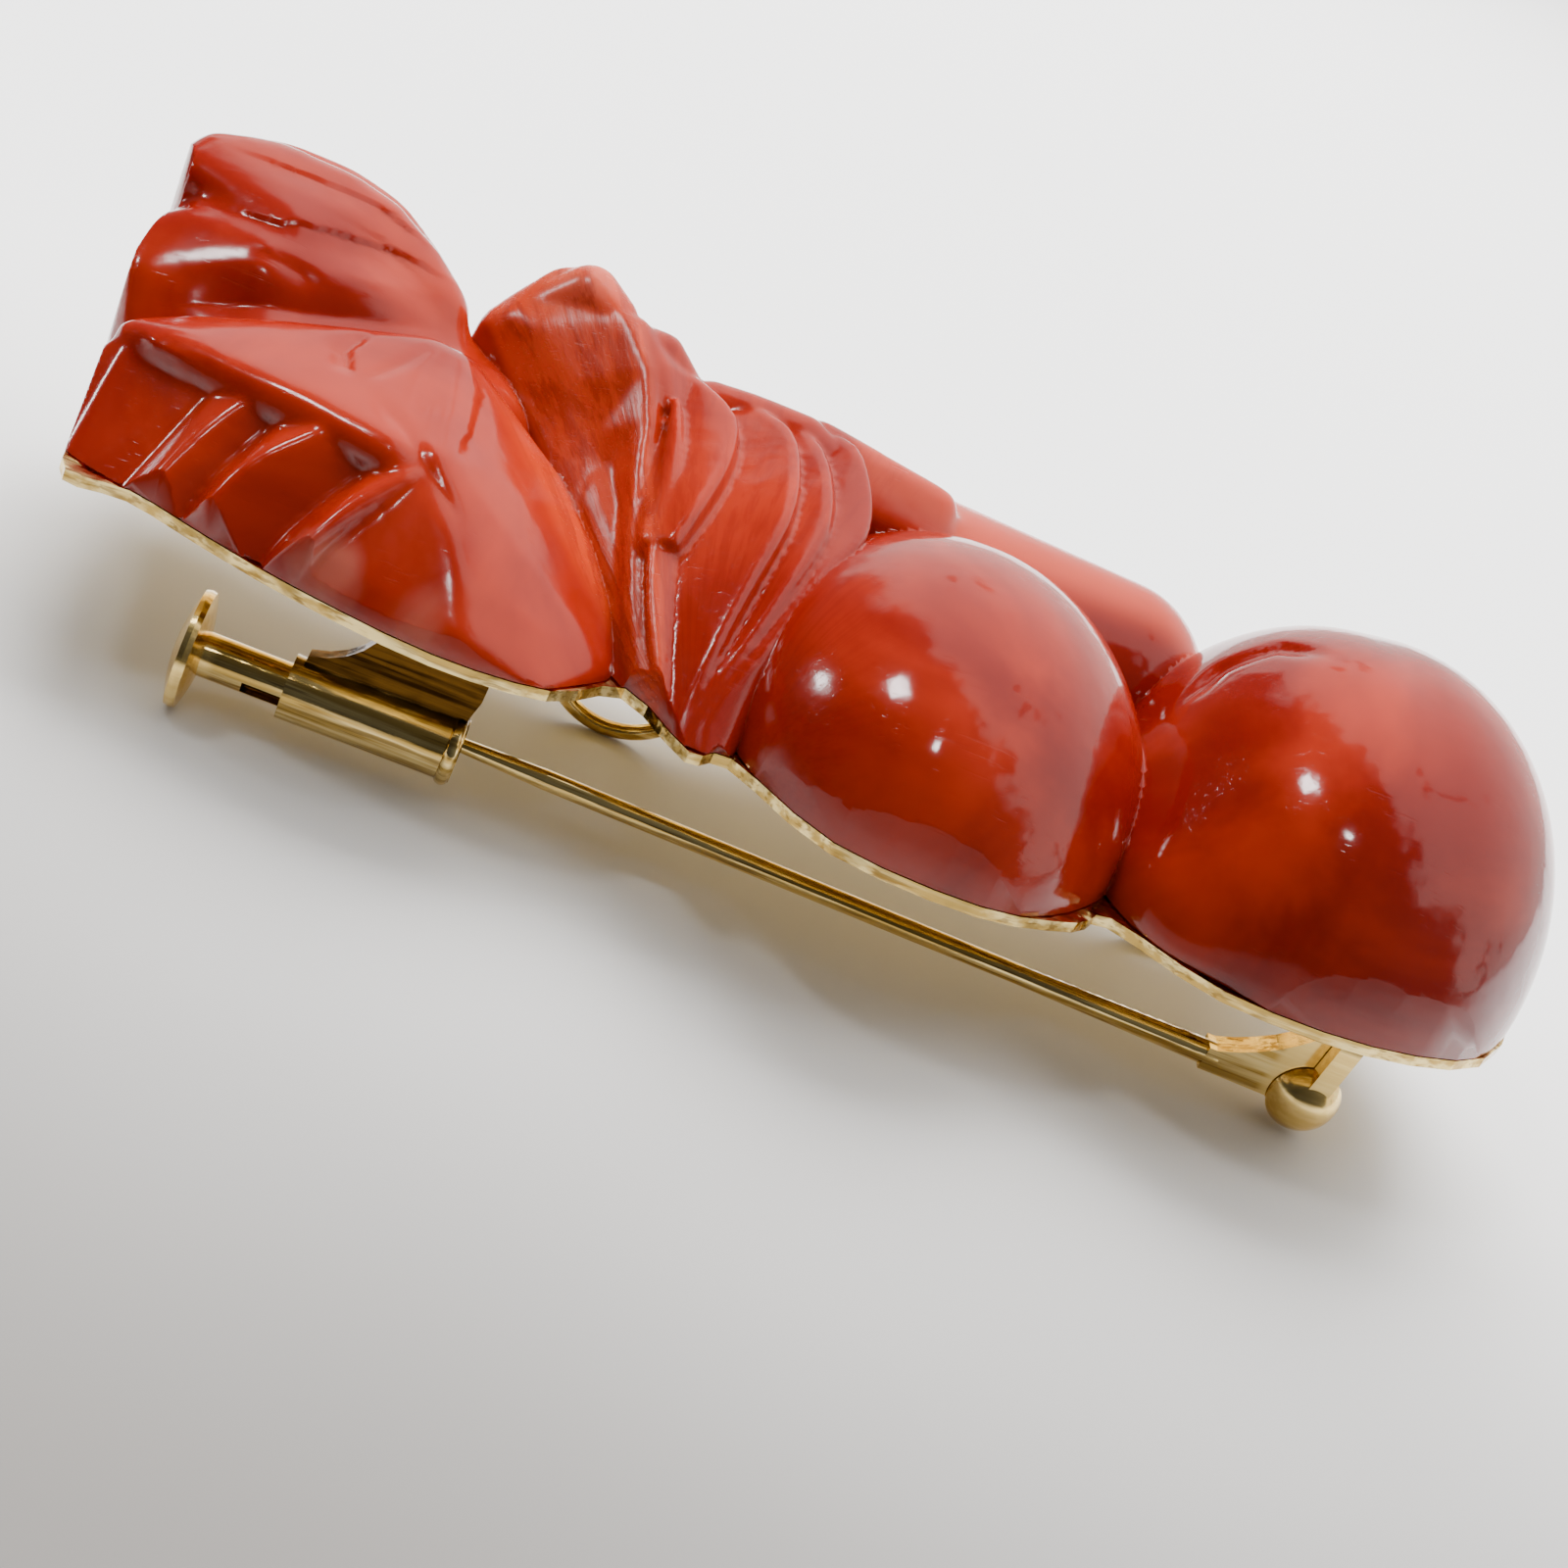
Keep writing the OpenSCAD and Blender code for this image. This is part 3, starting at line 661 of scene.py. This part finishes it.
# Wipe marks and fine scratches cross the polish every way
marks = 0
for turn in (0.4, 1.5, 2.6):
    line = stretched(in_mm, scale=(0.15, 3.0, 3.0), turned=(turn, turn * 0.7, turn))
    marks = line.noise(scale=2.2, detail=2.0).over(0.66, 0.72) + marks
ripple = in_mm.noise(scale=0.35, detail=3.0)
raise_bumps(surface, hairs * (on_fan * 0.004 + on_flank * 0.016) + ripple * 0.06 - marks * 0.0012)
feed(surface, "Roughness", 0.15 - on_fruit * 0.06 + on_flank * 0.12 + on_far * 0.1 + marks * 0.05)
surface.inputs["IOR"].default_value = 1.55
surface.inputs["Subsurface Weight"].default_value = 0.35
surface.inputs["Subsurface Radius"].default_value = (1.0, 0.25, 0.08)
surface.inputs["Subsurface Scale"].default_value = 1.2 * MM
coral.data.materials.clear()
coral.data.materials.append(material)
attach(coral, "brooch")
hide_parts("coral_carving")

# Gold. The plate with the findings soldered to it, the pin and the sliding tube are yellow
# gold, drawn or rolled, then polished. The bracket is painted dark brown, partly old tarnish
# and partly painted shade, and the knob and the hinge ball are painted paler, a painted sheen.
GOLD_DEEP, GOLD_LIGHT = (0.52, 0.34, 0.09, 1), (0.94, 0.73, 0.31, 1)
GOLD_LINE, GOLD_PAINTED_SHEEN = (0.2, 0.1, 0.02, 1), (0.97, 0.7, 0.25, 1)
TARNISH_AND_SHADE_DARK, TARNISH_AND_SHADE_BROWN = (0.02, 0.008, 0.0015, 1), (0.11, 0.05, 0.008, 1)
material, surface, in_mm = finish_named("polished_gold")
across, high = in_mm.along("x"), in_mm.along("z")
lengthways = stretched(in_mm, scale=(0.06, 1.6, 1.6))
wear_and_reflection_bands = lengthways.noise(scale=1.6, detail=4.0, roughness=0.6)
drawn = lengthways.noise(scale=4.0, detail=3.0)
on_plate = high.over(5.8, 5.95)
on_ends = (1 - across.over(-19.4, -19.0) + across.over(18.6, 19.0)) * (1 - high.over(4.0, 4.4))
on_bracket = high.over(2.8, 3.3) * (1 - on_plate) * (1 - on_ends)
# Streaks of deeper and paler gold along the pieces: partly wear, partly painted reflection bands
tone = wear_and_reflection_bands.over(0.42, 0.6).blend(GOLD_DEEP, GOLD_LIGHT)
tone = (drawn.over(0.54, 0.64) * (0.6 - on_ends * 0.5)).blend(tone, GOLD_LINE)
# Painted sheen: the knob and the hinge ball are made paler and brighter
tone = (on_ends * 0.7).blend(tone, GOLD_PAINTED_SHEEN)
# The bracket under the plate is dark brown: partly tarnish, partly painted shade
tarnish_and_shade = (wear_and_reflection_bands + drawn * 0.6).over(0.66, 0.96).blend(TARNISH_AND_SHADE_DARK, TARNISH_AND_SHADE_BROWN)
feed(surface, "Base Color", on_bracket.blend(tone, tarnish_and_shade))
surface.inputs["Metallic"].default_value = 1
# Shallow hammer marks, deepest on the plate, and fine scratches along the pieces
hammered = in_mm.noise(scale=0.8, detail=1.5)
raise_bumps(
    surface,
    hammered * (0.02 + on_bracket * 0.15 + on_plate * 0.2) + drawn * (0.004 + on_bracket * 0.01),
)
feed(surface, "Roughness", 0.07 + drawn.over(0.45, 0.8) * 0.12 + on_bracket * 0.08 + on_ends * 0.09)
for name in ("back_plate", "pin_stem", "catch_slider"):
    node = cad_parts[name]
    node.data.materials.clear()
    node.data.materials.append(material)
